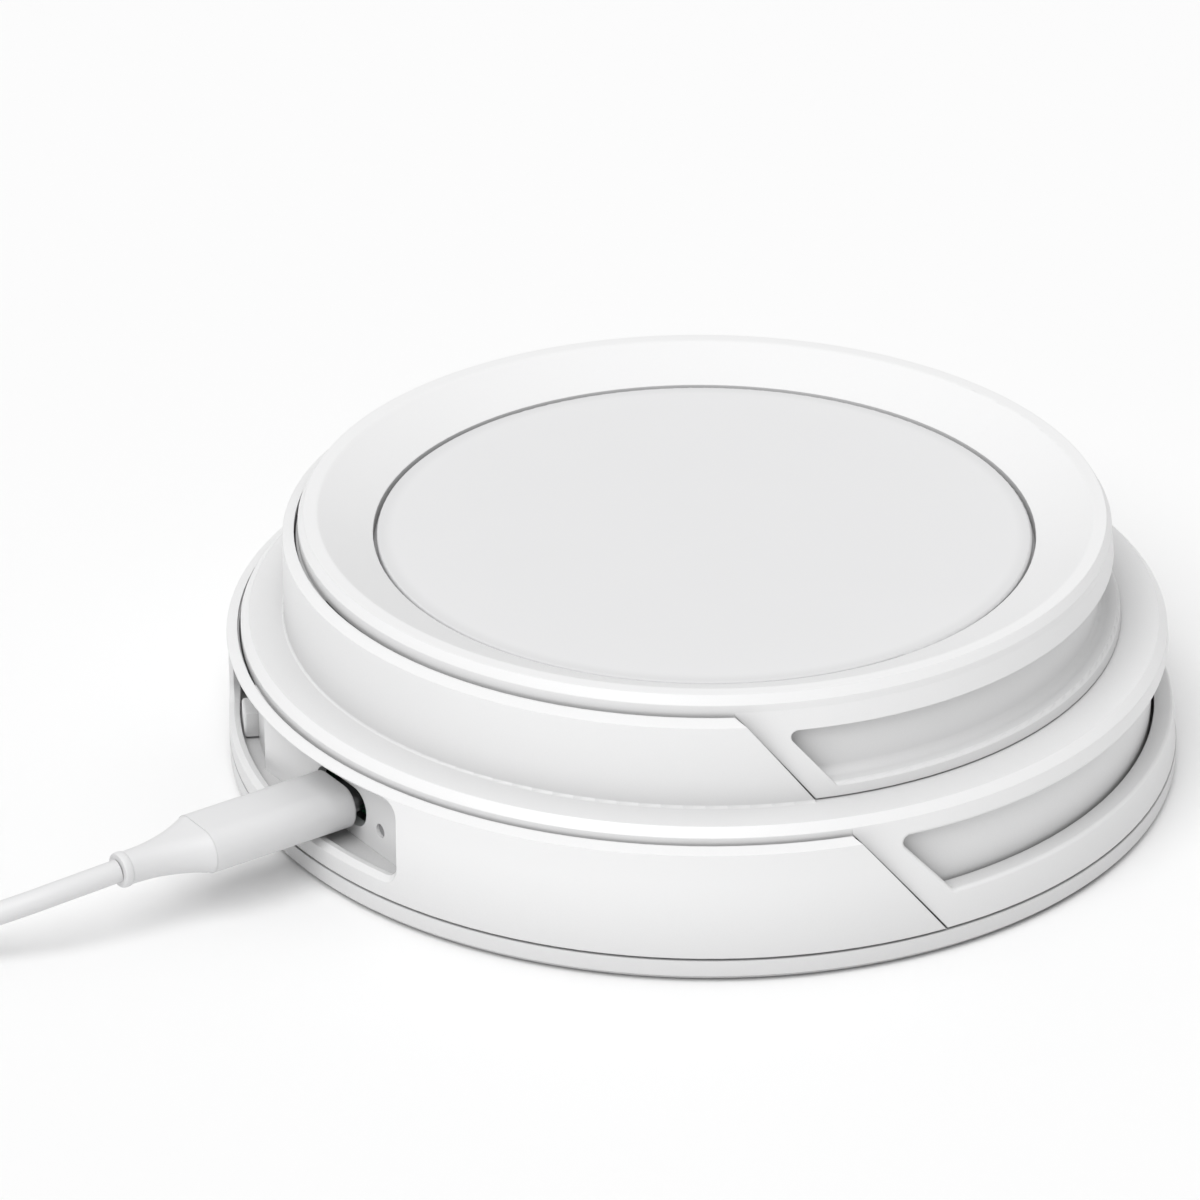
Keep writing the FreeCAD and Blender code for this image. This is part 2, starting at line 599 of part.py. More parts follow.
def hinges():
    low = ("0 - low_hinge", "low_hinge_height")
    hinge_bracket("lower_hinge_bracket", low, "low_knuckle", "low_pin",
                  (("9.5", "knuckle_half + knuckle_half", "0.8"), ("0 - 60.5", "0 - knuckle_half", "deck_top")),
                  [(("2.5", "2.6"), ("0 - 60.5", "deck_top + 0.5")), (("6.2", "0.8"), ("0 - 64.2", "19.1"))],
                  LOW_SCREWS)
    hinge_leaf("lower_hinge_leaf", low, "low_knuckle", "low_pin",
               [(("11.6", "0.9"), ("0 - low_hinge", "cover_bottom - 0.9"))], LOW_LEAF_SCREWS)
    finish(knuckle("lower_pin", "low_pin", "0 - knuckle_half", "knuckle_half + knuckle_half", low),
           "lower_hinge_pin")
    screw_group("lower_hinge_screws", LOW_SCREWS, "0.8", "2.6", "1.5", "0.8", True)

    high = ("0 - high_hinge", "high_hinge_height")
    hinge_bracket("upper_hinge_bracket", high, "high_knuckle", "high_pin",
                  (("7.5", "knuckle_half + knuckle_half", "0.8"), ("0 - 56.2", "0 - knuckle_half", "cover_top")),
                  [(("1.4", "high_hinge_height - cover_top"), ("0 - 55.9", "cover_top"))],
                  HIGH_SCREWS)
    hinge_leaf("upper_hinge_leaf", high, "high_knuckle", "high_pin",
               [(("1.5", "5.4"), ("0 - 55.9", "seat_bottom - 1.2")),
                (("15", "1.2"), ("0 - 55.9", "seat_bottom - 1.2"))],
               HIGH_LEAF_SCREWS)
    finish(knuckle("upper_pin", "high_pin", "0 - knuckle_half", "knuckle_half + knuckle_half", high),
           "upper_hinge_pin")
    screw_group("upper_hinge_screws", HIGH_SCREWS, "0.8", "2.2", "1.5", "0.8", True)
    screw_group("lower_leaf_screws", LOW_LEAF_SCREWS, "0.6", "2.5", "1.2", "0.6", False)
    screw_group("upper_leaf_screws", HIGH_LEAF_SCREWS, "0.6", "2.5", "1.2", "0.6", False)


# ---------------------------------------------------------------- lids

def lower_lid():
    cover = turned("cover", [
        ("0", "cover_bottom"), ("tub_inner", "cover_bottom"), ("tub_inner", "tub_plate"),
        ("tub_outer", "tub_plate"), ("tub_outer", "cover_bottom"), ("cover_radius - 1", "cover_bottom"),
        ("cover_radius - 1", "cover_bottom - cover_lip"), ("cover_radius", "cover_bottom - cover_lip"),
        ("cover_radius", "cover_top - cover_bevel"), ("cover_radius - cover_bevel", "cover_top"),
        ("middle_pad_radius + 0.1", "cover_top"), ("middle_pad_radius + 0.1", "cover_top - pad_depth"),
        ("0", "cover_top - pad_depth")])

    skirt = turned("skirt", [
        ("skirt_inner", "skirt_bottom"), ("skirt_foot_radius", "skirt_bottom"),
        ("cover_radius", "cover_top - cover_bevel"), ("skirt_inner", "cover_top - cover_bevel")])
    front = front_of_split("skirt_side", "low_split_foot", "low_split_top", "skirt_bottom", "band_top")
    window = window_space("low_window", "low_window_foot", "low_window_top", "ledge_height", "window_top")
    open_skirt = cut("open_skirt", common("front_skirt", skirt, front), [window])
    soft_skirt = rounded("soft_skirt", open_skirt, "ledge_round", ring_edge("69.3", "ledge_height", 0.4))

    lip_ring = turned("ledge_lip_ring", [
        ("drum_radius + ledge_gap", "ledge_height - 2"), ("skirt_inner + 0.2", "ledge_height - 2"),
        ("skirt_inner + 0.2", "ledge_height"), ("drum_radius + ledge_gap", "ledge_height")])
    lip_side = box("ledge_lip_side", ("90", "160", "40"), ("low_window_foot - 2", "0 - 80", "0"))
    ledge_lip = common("ledge_lip", lip_ring, lip_side)

    sharp_ring = turned("sharp_ring", [
        ("ring_inner", "cover_top - 1"), ("ring_radius + ring_fillet", "cover_top - 1"),
        ("ring_radius + ring_fillet", "cover_top"), ("ring_radius", "cover_top"), ("ring_radius", "ring_shoulder"),
        ("ring_inner", "ring_top")])
    ring = rounded("ring", sharp_ring, "ring_fillet - 0.02", ring_edge("ring_radius", "cover_top"))
    rear = rear_of_split("ring_side", "high_split_foot", "high_split_top", "apron_bottom", "ring_top")
    rear_ring = common("rear_ring", ring, rear)

    room = knuckle("lower_knuckle_room", "low_knuckle + knuckle_room", "0 - knuckle_half - knuckle_room",
                   "knuckle_half + knuckle_half + knuckle_room + knuckle_room",
                   ("0 - low_hinge", "low_hinge_height"))
    holes = [simple_rod("lid_screw_hole_%d" % number, "0.8", "2.3", spot - Vector(0, 0, 2.25))
             for number, spot in enumerate(HIGH_SCREWS)]
    holes += [simple_rod("cover_screw_hole_%d" % number, "0.65", "2.6", spot + Vector(0, 0, 0.1))
              for number, spot in enumerate(LOW_LEAF_SCREWS)]
    open_cover = cut("open_cover", cover, [room] + holes)
    finish(fused("lower_lid_shell", [open_cover, soft_skirt, ledge_lip, rear_ring]), "lower_lid_shell")
    finish(disc("lower_plate", "tub_outer", "tub_bottom", "tub_plate"), "lower_lid_plate")


def upper_lid():
    lid = turned("lid", [
        ("rim_radius", "lid_bottom"), ("rim_radius", "rim_height"), ("rim_radius - rim_bevel", "crest_height"),
        ("crest_inner", "crest_height"),
        ("dish_inner", "dish_floor"), ("dish_inner", "seat_top"), ("0", "seat_top"), ("0", "seat_bottom"),
        ("rib_inner", "seat_bottom"), ("rib_inner", "rib_bottom"), ("rib_outer", "rib_bottom"),
        ("rib_outer", "dish_floor - dish_skin"), ("lid_wall", "crest_height - dish_skin - 0.3"),
        ("lid_wall", "lid_bottom")])
    soft = rounded("lid_crest", lid, "crest_round", ring_edge("crest_inner", "crest_height"))

    apron = turned("apron", [
        ("recess_back", "apron_bottom"), ("apron_foot_radius", "apron_bottom"), ("rim_radius", "ring_top + 0.4"),
        ("rim_radius - 0.8", "ring_top + 0.4"), ("recess_back", "ring_top - 1.2")])
    front = front_of_split("apron_side", "high_split_foot", "high_split_top", "apron_bottom", "ring_top")
    flange = turned("flange", [
        ("lid_wall + 0.5", "lid_bottom"), ("ring_inner - groove_gap", "lid_bottom"),
        ("ring_inner - groove_gap", "ring_shoulder"), ("lid_wall + 0.5", "ring_shoulder")])
    rear = rear_of_split("flange_side", "high_split_foot", "high_split_top", "apron_bottom", "ring_top")
    rear_flange = common("rear_flange", flange, rear)
    whole = fused("upper_lid_whole", [soft, common("front_apron", apron, front), rear_flange])

    scoop_ring = turned("scoop_ring", [
        ("recess_radius", "recess_bottom"), ("80", "recess_bottom"), ("80", "recess_top"),
        ("recess_radius", "recess_top")])
    scoop = rounded("scoop", scoop_ring, "recess_cove", ring_edge("recess_radius", "recess_bottom"))
    window = window_space("high_window", "high_window_foot", "high_window_top", "recess_bottom - 1", "recess_top")
    scooped = cut("scooped_lid", whole, [common("recess", scoop, window)])
    lipped = rounded("lipped_lid", scooped, "0.6", ring_edge("60.85", "recess_bottom", 0.2))

    half_slot = "knuckle_half + 1"
    hinge_slot = box("hinge_slot", ("10", half_slot + " + " + half_slot, "high_hinge_height - 20.6"),
                     ("0 - 63.5", "0 - knuckle_half - 1", "20"))
    slot_top = box("slot_top", ("4.1", half_slot + " + " + half_slot, "0.6"),
                   ("0 - 57.6", "0 - knuckle_half - 1", "high_hinge_height - 0.6"))
    leaf_notch = box("leaf_notch", ("4", "leaf_half + leaf_half + 0.6", "1.5"),
                     ("0 - 49", "0 - leaf_half - 0.3", "seat_bottom - 1.5"))
    holes = [simple_rod("leaf_screw_hole_%d" % number, "0.65", "2.6", spot + Vector(0, 0, 0.1))
             for number, spot in enumerate(HIGH_LEAF_SCREWS)]
    room = knuckle("upper_knuckle_room", "high_knuckle + knuckle_room", "0 - knuckle_half - knuckle_room",
                   "knuckle_half + knuckle_half + knuckle_room + knuckle_room",
                   ("0 - high_hinge", "high_hinge_height"))
    finish(cut("upper_lid_shell", lipped, [hinge_slot, slot_top, leaf_notch, room] + holes), "upper_lid_shell")
    finish(disc("upper_plate", "rib_outer", "lid_bottom", "rib_bottom"), "upper_lid_plate")


def magnet_ring():
    magnets = []
    for number in range(16):
        block = doc.addObject("Part::Box", "magnet_%d" % number)
        bind(block, "Length", "magnet_outer - magnet_inner")
        block.Width = 7
        bind(block, "Height", "magnet_thick")
        degrees = 22.5 * number
        inner_end = around(value("magnet_inner"), degrees, value("seat_bottom - magnet_thick"))
        magnets.append(placed(block, inner_end + around(3.5, degrees - 90), degrees))
    group("magnet_ring", magnets)


# ---------------------------------------------------------------- plug and lead

CORD_ROUTE = [(-100.5, 0, 10.8), (-107.6, 0.6, 10.2), (-115.0, 2.6, 8.6), (-122.3, 6.4, 6.2), (-129.4, 10.6, 3.8),
              (-135.9, 13.3, 2.2), (-142.2, 14.8, 1.65)]
COIL_CENTRE = (-136.84, 37.5)
TAIL_ANGLE = 135.0


def solid_feature(label, shape):
    feature = doc.addObject("Part::Feature", label)
    feature.Shape = shape
    return finish(feature, label)


def rounded_section(across, width, thick, corner, height):
    """A rounded rectangle across X, as a closed wire."""
    half = width / 2 - corner
    rise = thick / 2 - corner
    edges = []
    corners = [(half, rise, 0), (-half, rise, 90), (-half, -rise, 180), (half, -rise, 270)]
    ends = []
    for side, up, start in corners:
        points = []
        for step in (0, 45, 90):
            angle = math.radians(start + step)
            sideways = side + corner * math.cos(angle)
            points.append(Vector(across, sideways, height + up + corner * math.sin(angle)))
        edges.append(Part.Arc(*points).toShape())
        ends.append((points[0], points[-1]))
    wire = []
    for number, edge in enumerate(edges):
        wire.append(edge)
        wire.append(Part.LineSegment(ends[number][1], ends[(number + 1) % 4][0]).toShape())
    return Part.Wire(wire)


def relief_shape(start, height):
    """A strain relief that narrows from the plug's section to a round collar, concave along its length."""
    sections = []
    for part in (0.0, 0.18, 0.4, 0.7, 1.0):
        shrink = 1 - (1 - part) ** 2.2
        width = value("plug_width") * 0.97 * (1 - shrink) + 2 * value("relief_radius") * shrink
        thick = value("plug_thick") * 0.95 * (1 - shrink) + 2 * value("relief_radius") * shrink
        corner = min(width, thick) / 2 * 0.96
        sections.append(rounded_section(start - part * value("relief_length"), width, thick, corner, height))
    return Part.makeLoft(sections, True, False)


def overmold_shape(start, length, height):
    section = rounded_section(start, value("plug_width"), value("plug_thick"), value("plug_corner"), height)
    return Part.Face(section).extrude(Vector(-length, 0, 0))


def contact_shape(start, length, height):
    wide = value("contact_width")
    tall = value("contact_tall")
    corner = value("contact_corner")
    outer = Part.Face(rounded_section(start, wide, tall, corner, height)).extrude(Vector(length, 0, 0))
    inner = Part.Face(rounded_section(start, wide - 0.8, tall - 0.8, corner - 0.45, height))
    return outer.cut(inner.extrude(Vector(length + 1, 0, 0)))


def tube_through(points, diameter):
    """A round tube of straight runs joined by tangent arcs, and the radii of those arcs."""
    places = [Vector(*point) for point in points]
    edges = []
    radii = []
    start = places[0]
    for before, corner, after in zip(places, places[1:], places[2:]):
        toward = (before - corner).normalize()
        onward = (after - corner).normalize()
        turn = math.pi - toward.getAngle(onward)
        short = min((before - corner).Length, (after - corner).Length)
        setback = 0.45 * short
        radius = setback / math.tan(turn / 2)
        radii.append(radius)
        entry = corner + toward * setback
        leave = corner + onward * setback
        inward = (toward + onward).normalize()
        middle = corner + inward * (math.hypot(radius, setback) - radius)
        edges.append(Part.LineSegment(start, entry).toShape())
        edges.append(Part.Arc(entry, middle, leave).toShape())
        start = leave
    edges.append(Part.LineSegment(start, places[-1]).toShape())
    path = Part.Wire(edges)
    heading = (places[1] - places[0]).normalize()
    section = Part.Wire(Part.Circle(places[0], heading, diameter / 2).toShape())
    tube = path.makePipeShell([section], True, False)
    area = math.pi * diameter ** 2 / 4
    print("tube: radii", [round(radius, 1) for radius in radii], "volume against section x length",
          round(tube.Volume / (area * path.Length), 4), "length", round(path.Length, 1))
    return tube


def turned_copy(shape, spot, degrees):
    moved = shape.copy()
    moved.Placement = Placement(Vector(*spot), Rotation(Vector(0, 0, 1), degrees)).multiply(moved.Placement)
    return moved


def lead():
    height = value("port_height")
    front = value("plug_front")
    length = value("plug_length")
    solid_feature("plug_shell", contact_shape(-front, value("contact_length"), height))
    solid_feature("plug_overmold", overmold_shape(-front, length, height))
    solid_feature("plug_strain_relief", relief_shape(-front - length, height))
    diameter = value("cord_diameter")
    mean = value("coil_mean")
    spread = value("coil_rows") / 2
    centre = Vector(COIL_CENTRE[0], COIL_CENTRE[1], 0)
    tall = 3 * diameter
    drum = Part.makeCylinder(mean + spread, tall, centre)
    solid_feature("cord_run", tube_through(CORD_ROUTE, diameter).cut(drum))
    solid_feature("cord_coil", drum.cut(Part.makeCylinder(mean - spread, tall, centre)))

    lift = value("plug_thick") / 2
    tail_radius = mean + diameter
    tail_start = centre + around(tail_radius, TAIL_ANGLE, 1.5 * diameter)
    heading = TAIL_ANGLE - 90
    tail_length = value("tail_length") + math.sqrt((mean + spread) ** 2 - tail_radius ** 2)
    far_end = tail_start + around(tail_length, heading, lift - tail_start.z)
    tail = Part.makeCylinder(diameter / 2, (far_end - tail_start).Length, tail_start, far_end - tail_start)
    solid_feature("cord_tail", tail.cut(drum))
    parts = (("far_strain_relief", relief_shape(0, lift), value("relief_length")),
             ("far_overmold", overmold_shape(0, length, lift), value("relief_length") + length),
             ("far_plug_shell", contact_shape(0, value("contact_length"), lift), value("relief_length") + length))
    for label, shape, ahead in parts:
        spot = far_end + around(ahead, heading)
        solid_feature(label, turned_copy(shape, (spot.x, spot.y, 0), heading))
    strap = Part.makeBox(12.4, 5.0, tall + 0.8, centre + Vector(mean - 6.2, -2.5, 0))
    inside = Part.makeBox(10.4, 7.0, tall, centre + Vector(mean - 5.2, -3.5, 0))
    solid_feature("cord_tie", strap.cut(inside))


base_plate()
foot_ring()
base_housing()
port_panel()
side_button()
ballast_plate()
board()
receptacle()
base_screws()
charger("lower", "deck_bottom")
inlay("lower_pad", "lower_pad_radius", "deck_top - pad_depth", "deck_top", "pad_edge")
hinges()
lower_lid()
charger("middle", "cover_bottom")
inlay("middle_pad", "middle_pad_radius", "cover_top - pad_depth", "cover_top", "pad_edge")
upper_lid()
charger("upper", "seat_bottom")
inlay("upper_pad", "pad_radius", "seat_top", "pad_top", "pad_edge")
magnet_ring()
lead()

doc.recompute()
failed = [item.Name for item in doc.Objects if "Invalid" in item.State or "Error" in item.State]
bad = [item.Label for item in sub_parts if item.Shape.isNull() or not item.Shape.isValid()]
if failed or bad:
    raise RuntimeError("failed objects %s, bad shapes %s" % (failed, bad))
os.makedirs("parts", exist_ok=True)
for item in sub_parts:
    item.Shape.exportStep("parts/%s.step" % item.Label)
    extent = item.Shape.BoundBox
    print("%-22s solids %2d  volume %9.1f  x %7.2f %7.2f  y %7.2f %7.2f  z %6.2f %6.2f" % (
        item.Label, len(item.Shape.Solids), item.Shape.Volume, extent.XMin, extent.XMax, extent.YMin,
        extent.YMax, extent.ZMin, extent.ZMax))
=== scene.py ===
"""Looks of the two-tier charging hub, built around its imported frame.

Metres, in the frame's own axes: +Z up, +X towards the finger recesses, -X towards the USB-C port.
"""

import json
import math

import bpy
from mathutils import Matrix, Vector


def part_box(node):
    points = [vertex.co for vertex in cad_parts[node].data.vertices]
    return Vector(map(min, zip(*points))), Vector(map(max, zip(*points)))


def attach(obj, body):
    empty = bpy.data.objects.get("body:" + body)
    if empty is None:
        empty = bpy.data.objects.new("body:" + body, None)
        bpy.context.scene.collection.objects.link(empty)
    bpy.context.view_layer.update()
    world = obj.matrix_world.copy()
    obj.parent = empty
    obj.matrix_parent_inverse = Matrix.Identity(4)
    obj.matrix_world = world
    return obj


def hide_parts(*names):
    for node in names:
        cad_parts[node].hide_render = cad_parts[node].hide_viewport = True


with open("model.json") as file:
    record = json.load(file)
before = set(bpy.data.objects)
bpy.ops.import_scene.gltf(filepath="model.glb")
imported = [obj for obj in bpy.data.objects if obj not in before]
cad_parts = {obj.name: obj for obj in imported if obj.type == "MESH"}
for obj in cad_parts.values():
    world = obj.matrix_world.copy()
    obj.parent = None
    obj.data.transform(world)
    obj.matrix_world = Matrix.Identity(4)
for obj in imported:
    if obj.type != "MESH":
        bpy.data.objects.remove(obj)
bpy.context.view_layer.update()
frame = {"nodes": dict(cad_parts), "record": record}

MM = 0.001

# ---------------------------------------------------------------- camera and studio

VIEW_TURN = math.radians(-35)
CAMERA_SPOT = Vector((-15.2, -785.5, 431.7)) * MM
CAMERA_PITCH = math.radians(62.53)
CAMERA_LENS = 181.0
SENSOR_WIDTH = 36.0
FAR_CLIP = 20.0
FLOOR_SIZE = 6.0
SKY_STRENGTH = 0.4
# each sun's direction in the camera's compass, its strength and the width of sky it fills, in degrees
SUNS = {
    "key": ((-0.15, -0.31, 0.5), 1.9, 50),
    "top": ((0.1, 0.5, 1.0), 0.5, 90),
}

view_frame = Matrix.Rotation(VIEW_TURN, 4, "Z")


def make_camera():
    """A long lens, looking down at about 27 degrees."""
    data = bpy.data.cameras.new("camera")
    data.lens = CAMERA_LENS
    data.sensor_width = SENSOR_WIDTH
    data.clip_end = FAR_CLIP
    camera = bpy.data.objects.new("camera", data)
    camera.matrix_world = view_frame @ Matrix.Translation(CAMERA_SPOT) @ Matrix.Rotation(CAMERA_PITCH, 4, "X")
    bpy.context.scene.collection.objects.link(camera)
    bpy.context.scene.camera = camera


def soft_sun(name, toward, strength, spread_angle):
    """Even light from a wide part of the sky, whose direction is given in the camera's own compass."""
    data = bpy.data.lights.new(name, "SUN")
    data.energy = strength
    data.angle = math.radians(spread_angle)
    light = bpy.data.objects.new(name, data)
    turn = Vector(toward).to_track_quat("Z", "Y").to_matrix().to_4x4()
    light.matrix_world = view_frame @ turn
    bpy.context.scene.collection.objects.link(light)


def make_studio(floor_material):
    world = bpy.data.worlds.new("studio")
    world.use_nodes = True
    world.node_tree.nodes["Background"].inputs["Color"].default_value = (1.0, 1.0, 1.0, 1.0)
    world.node_tree.nodes["Background"].inputs["Strength"].default_value = SKY_STRENGTH
    bpy.context.scene.world = world
    bpy.context.scene.view_settings.view_transform = "Standard"

    half = FLOOR_SIZE / 2
    mesh = bpy.data.meshes.new("floor")
    corners = [(-half, -half, 0), (half, -half, 0), (half, half, 0), (-half, half, 0)]
    mesh.from_pydata(corners, [], [(0, 1, 2, 3)])
    mesh.materials.append(floor_material)
    floor = bpy.data.objects.new("floor", mesh)
    bpy.context.scene.collection.objects.link(floor)

    for name, (toward, strength, spread_angle) in SUNS.items():
        soft_sun(name, toward, strength, spread_angle)


# ---------------------------------------------------------------- materials

# how far the painted crevice shade looks for sheltering walls
CREVICE_SHADE_REACH = 16 * MM
EDGE_SAMPLES = 6
SHELTER_SAMPLES = 8
PLASTIC_IOR = 1.5
DRAWN_DEPTH = 0.003 * MM
METAL_EDGE = 0.1 * MM
STAIN_SHADE = 0.86
# how far from an inlay's edge its band of painted shade begins and ends
PAINTED_RIM_SHADE_BAND = (2.6 * MM, 0.4 * MM)
# scales of the textures, per metre
DRIFT_SCALE = 22.0
PATCH_SCALE = 90.0
STAIN_SCALE = 160.0
# the part of a noise texture's range that it mostly stays in
NOISE_MIDDLE = (0.3, 0.7)
# the colour sockets of a Mix node, which share their names with others
MIX_LOW, MIX_HIGH, MIX_RESULT = 6, 7, 2


def add(tree, kind, settings=None, **inputs):
    """A shader node with its properties set; each input is given a value or linked to a socket."""
    item = tree.nodes.new(kind)
    for key, setting in (settings or {}).items():
        setattr(item, key, setting)
    for key, given in inputs.items():
        socket = item.inputs[key.replace("_", " ")]
        if isinstance(given, bpy.types.NodeSocket):
            tree.links.new(given, socket)
        else:
            socket.default_value = given
    return item


def start_material(name):
    """A new material, its node tree, its shader and the object's own coordinates."""
    material = bpy.data.materials.new(name)
    material.use_nodes = True
    tree = material.node_tree
    shader = tree.nodes["Principled BSDF"]
    coords = add(tree, "ShaderNodeTexCoord").outputs["Object"]
    return material, tree, shader, coords


def blend_by(tree, factor, low, high, blend="MIX"):
    """A colour that goes with a factor from low to high, or with MULTIPLY from low to the product."""
    mix = add(tree, "ShaderNodeMix", {"data_type": "RGBA", "blend_type": blend}, Factor=factor)
    for socket, given in ((mix.inputs[MIX_LOW], low), (mix.inputs[MIX_HIGH], high)):
        if isinstance(given, bpy.types.NodeSocket):
            tree.links.new(given, socket)
        else:
            socket.default_value = (*given, 1.0)
    return mix.outputs[MIX_RESULT]


def spread(tree, factor, low, high):
    """A number that goes from low to high as a texture goes over the middle of its range."""
    item = add(tree, "ShaderNodeMapRange", From_Min=NOISE_MIDDLE[0], From_Max=NOISE_MIDDLE[1],
               To_Min=low, To_Max=high, Value=factor)
    return item.outputs["Result"]


def noise(tree, coords, scale, detail=2.0, roughness=0.5):
    item = add(tree, "ShaderNodeTexNoise", Vector=coords, Scale=scale, Detail=detail, Roughness=roughness)
    return item.outputs["Fac"]


def edge_softener(tree, radius):
    """Rounds the look of machined and moulded edges by a fraction of a millimetre."""
    return add(tree, "ShaderNodeBevel", {"samples": EDGE_SAMPLES}, Radius=radius).outputs["Normal"]


def painted_crevice_shade(tree, colour, depth):
    """Painted shade: the colour, a little darker where neighbouring walls shelter the surface."""
    sheltered = add(tree, "ShaderNodeAmbientOcclusion", {"samples": SHELTER_SAMPLES}, Distance=CREVICE_SHADE_REACH)
    grey = 1 - depth
    painted_shade = blend_by(tree, sheltered.outputs["AO"], (grey, grey, grey), (1.0, 1.0, 1.0))
    return blend_by(tree, 1.0, colour, painted_shade, "MULTIPLY")


def shader_parts(material):
    """A finished material's node tree, its shader and the object's own coordinates."""
    tree = material.node_tree
    return tree, tree.nodes["Principled BSDF"], tree.nodes["Texture Coordinate"].outputs["Object"]


def tint_over(tree, shader, factor, colour):
    """Blend one more colour over the shader's present base colour."""
    base = shader.inputs["Base Color"].links[0].from_socket
    tree.links.new(blend_by(tree, factor, base, colour), shader.inputs["Base Color"])


def moulded(name, colour, drift, rough, grain_size=0.25, grain_depth=0.004, edge=0.2, sheen=0.0, crevice_shade=0.0):
    """Moulded plastic or rubber: spark-eroded grain, slow colour drift, uneven roughness and optional painted
    crevice shade.

    The grain and the rounding of the edges are in mm.
    """
    material, tree, shader, coords = start_material(name)
    slow = noise(tree, coords, DRIFT_SCALE, 3.0)
    darker = tuple(channel * (1 - drift) for channel in colour)
    surface = blend_by(tree, slow, darker, colour)
    # painted shade, darker in crevices and next to neighbouring walls
    if crevice_shade:
        surface = painted_crevice_shade(tree, surface, crevice_shade)
    tree.links.new(surface, shader.inputs["Base Color"])
    patches = noise(tree, coords, PATCH_SCALE, 4.0, 0.6)
    tree.links.new(spread(tree, patches, rough[0], rough[1]), shader.inputs["Roughness"])
    grain = noise(tree, coords, 1 / (grain_size * MM), 2.0, 0.6)
    bump = add(tree, "ShaderNodeBump", Height=grain, Distance=grain_depth * MM, Strength=1.0)
    tree.links.new(edge_softener(tree, edge * MM), bump.inputs["Normal"])
    tree.links.new(bump.outputs["Normal"], shader.inputs["Normal"])
    shader.inputs["IOR"].default_value = PLASTIC_IOR
    shader.inputs["Sheen Weight"].default_value = sheen
    return material


def plated(name, colour, rough, stretch):
    """Plated or rolled metal with fine drawn lines along one axis."""
    material, tree, shader, coords = start_material(name)
    lines = add(tree, "ShaderNodeMapping", Vector=coords, Scale=stretch).outputs["Vector"]
    drawn = noise(tree, lines, 1.0, 3.0, 0.7)
    stains = noise(tree, coords, STAIN_SCALE, 3.0)
    dull = tuple(channel * STAIN_SHADE for channel in colour)
    tree.links.new(blend_by(tree, stains, dull, colour), shader.inputs["Base Color"])
    tree.links.new(spread(tree, drawn, rough[0], rough[1]), shader.inputs["Roughness"])
    bump = add(tree, "ShaderNodeBump", Height=drawn, Distance=DRAWN_DEPTH, Strength=1.0)
    tree.links.new(edge_softener(tree, METAL_EDGE), bump.inputs["Normal"])
    tree.links.new(bump.outputs["Normal"], shader.inputs["Normal"])
    shader.inputs["Metallic"].default_value = 1.0
    return material


def soft_touch(name, node):
    """The inlay: a matte disc, darker over its last millimetres with painted shade from the wall around it.
    """
    material = moulded(name, (0.79, 0.79, 0.795), 0.015, (0.62, 0.72), grain_size=0.18, grain_depth=0.006,
                       edge=0.15, sheen=0.08)
    tree, shader, coords = shader_parts(material)
    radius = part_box(node)[1].x
    flat = add(tree, "ShaderNodeVectorMath", {"operation": "MULTIPLY"}, Vector=coords)
    flat.inputs[1].default_value = (1.0, 1.0, 0.0)
    distance = add(tree, "ShaderNodeVectorMath", {"operation": "LENGTH"}, Vector=flat.outputs["Vector"])
    rim_shade = add(tree, "ShaderNodeMapRange", {"interpolation_type": "SMOOTHSTEP"},
              Value=distance.outputs["Value"], From_Min=radius - PAINTED_RIM_SHADE_BAND[0],
              From_Max=radius - PAINTED_RIM_SHADE_BAND[1])
    # painted shade: the pad darkens towards its edge
    tint_over(tree, shader, rim_shade.outputs["Result"], (0.72, 0.72, 0.725))
    return material


def solder_mask():
    """Green lacquer over copper pours, with a fine weave beneath."""
    material = moulded("circuit_board", (0.03, 0.20, 0.10), 0.1, (0.25, 0.4), grain_size=0.3, edge=0.1)
    tree, shader, coords = shader_parts(material)
    cells = add(tree, "ShaderNodeTexVoronoi", {"distance": "MANHATTAN"}, Vector=coords, Scale=260.0)
    pour = add(tree, "ShaderNodeMapRange", Value=cells.outputs["Distance"], From_Min=0.42, From_Max=0.5)
    tint_over(tree, shader, pour.outputs["Result"], (0.06, 0.30, 0.15))
    return material


def winding():
    """Enamelled litz wire laid in rings about the object's axis."""
    material, tree, shader, coords = start_material("copper")
    rings = add(tree, "ShaderNodeTexWave", {"wave_type": "RINGS", "rings_direction": "Z"}, Vector=coords,
                Scale=320.0, Distortion=0.4, Detail=1.0, Detail_Scale=2.0)
    colour = blend_by(tree, rings.outputs["Fac"], (0.28, 0.10, 0.04), (0.72, 0.36, 0.17))
    tree.links.new(colour, shader.inputs["Base Color"])
    bump = add(tree, "ShaderNodeBump", Height=rings.outputs["Fac"], Distance=0.15 * MM, Strength=0.8)
    tree.links.new(bump.outputs["Normal"], shader.inputs["Normal"])
    shader.inputs["Metallic"].default_value = 0.9
    shader.inputs["Roughness"].default_value = 0.35
    return material


def frosted_guide():
    """The status light's clear guide: frosted and unlit."""
    material = moulded("light_guide", (0.42, 0.42, 0.43), 0.1, (0.3, 0.45), grain_size=0.2, edge=0.1)
    shader = shader_parts(material)[1]
    shader.inputs["Transmission Weight"].default_value = 0.25
    return material


def floor_finish():
    """A plain matte white sweep."""
    material, tree, shader, coords = start_material("floor")
    faint = noise(tree, coords, 3.0, 2.0)
    tree.links.new(blend_by(tree, faint, (0.93, 0.93, 0.93), (0.95, 0.95, 0.95)), shader.inputs["Base Color"])
    shader.inputs["Roughness"].default_value = 0.9
    shader.inputs["Specular IOR Level"].default_value = 0.1
    return material
